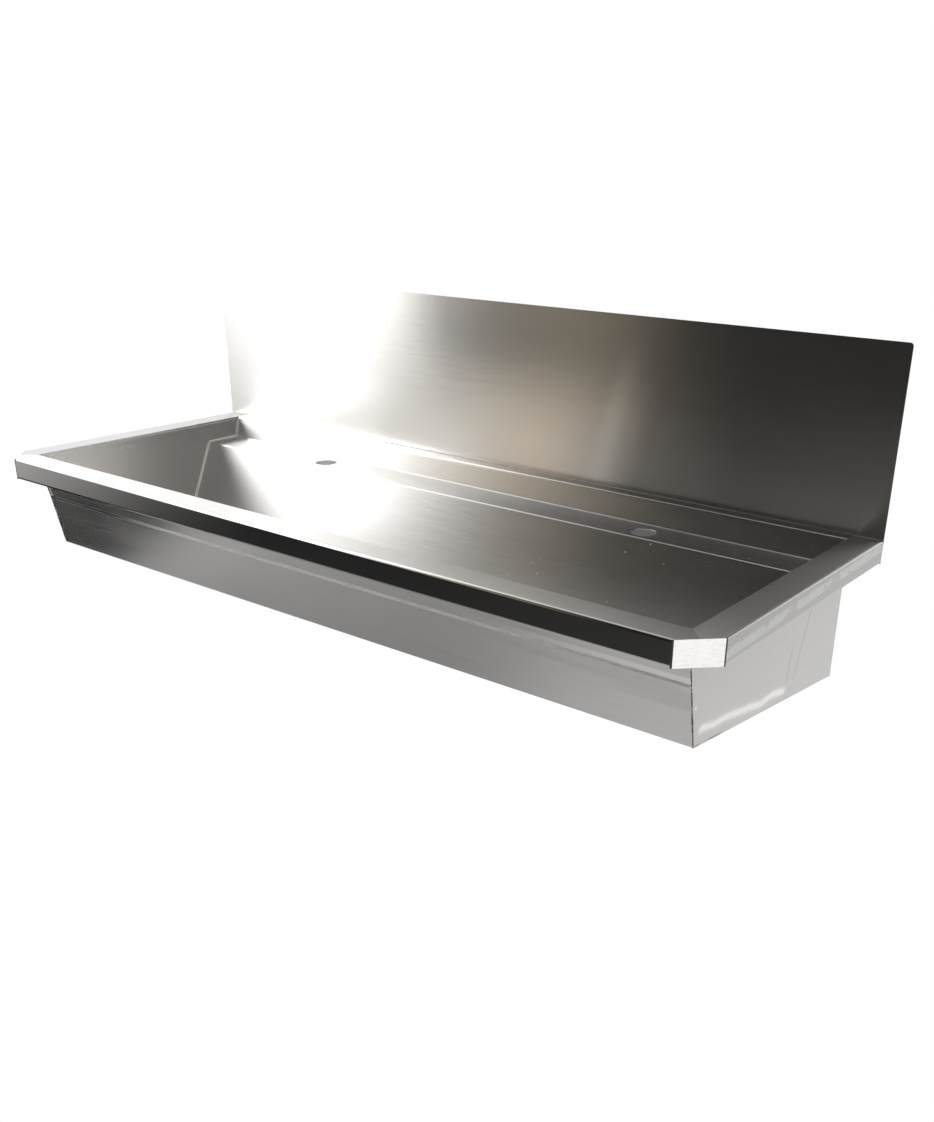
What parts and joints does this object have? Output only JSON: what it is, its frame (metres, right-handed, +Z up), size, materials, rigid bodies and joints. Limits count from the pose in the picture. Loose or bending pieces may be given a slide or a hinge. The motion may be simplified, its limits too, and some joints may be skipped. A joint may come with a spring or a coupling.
{
  "type": "trough sink",
  "caption": "Wall-hung stainless trough sink with a tall splashback, a tap landing, a sloping bowl and a lift-out strainer basket.",
  "frame": {"origin": "middle of the trough's length, on the wall plane at the back of the splashback, level with the top of the rim", "axes": "+X along the trough to the right as seen from the front, +Y into the wall, +Z up"},
  "size_m": [1.2, 0.45, 0.4588],
  "materials": {
    "stainless": "brushed",
    "bracket_steel": "satin, galvanised",
    "polished_steel": "polished",
    "black_rubber": "matte",
    "fibre": "matte",
    "grey_nylon": "matte"
  },
  "bodies": {
    "trough": {"trough_body": "stainless", "left_end_plate": "stainless", "right_end_plate": "stainless", "left_corner_plate": "stainless", "right_corner_plate": "stainless", "front_apron": "stainless", "splashback": "stainless", "hanging_rail": "bracket_steel", "wall_rail": "bracket_steel", "left_stay": "bracket_steel", "right_stay": "bracket_steel", "left_stiffener": "bracket_steel", "right_stiffener": "bracket_steel", "waste_cup": "polished_steel", "flange_seal": "black_rubber", "under_washer": "black_rubber", "friction_ring": "fibre", "locknut": "grey_nylon"},
    "strainer": {"strainer_basket": "polished_steel", "lift_knob": "polished_steel"}
  },
  "joints": [
    {"name": "strainer_lift", "type": "slide", "parent": "trough", "child": "strainer", "axis": [0, 0.1392, 0.9903], "range_m": [0, 0.22]}
  ]
}
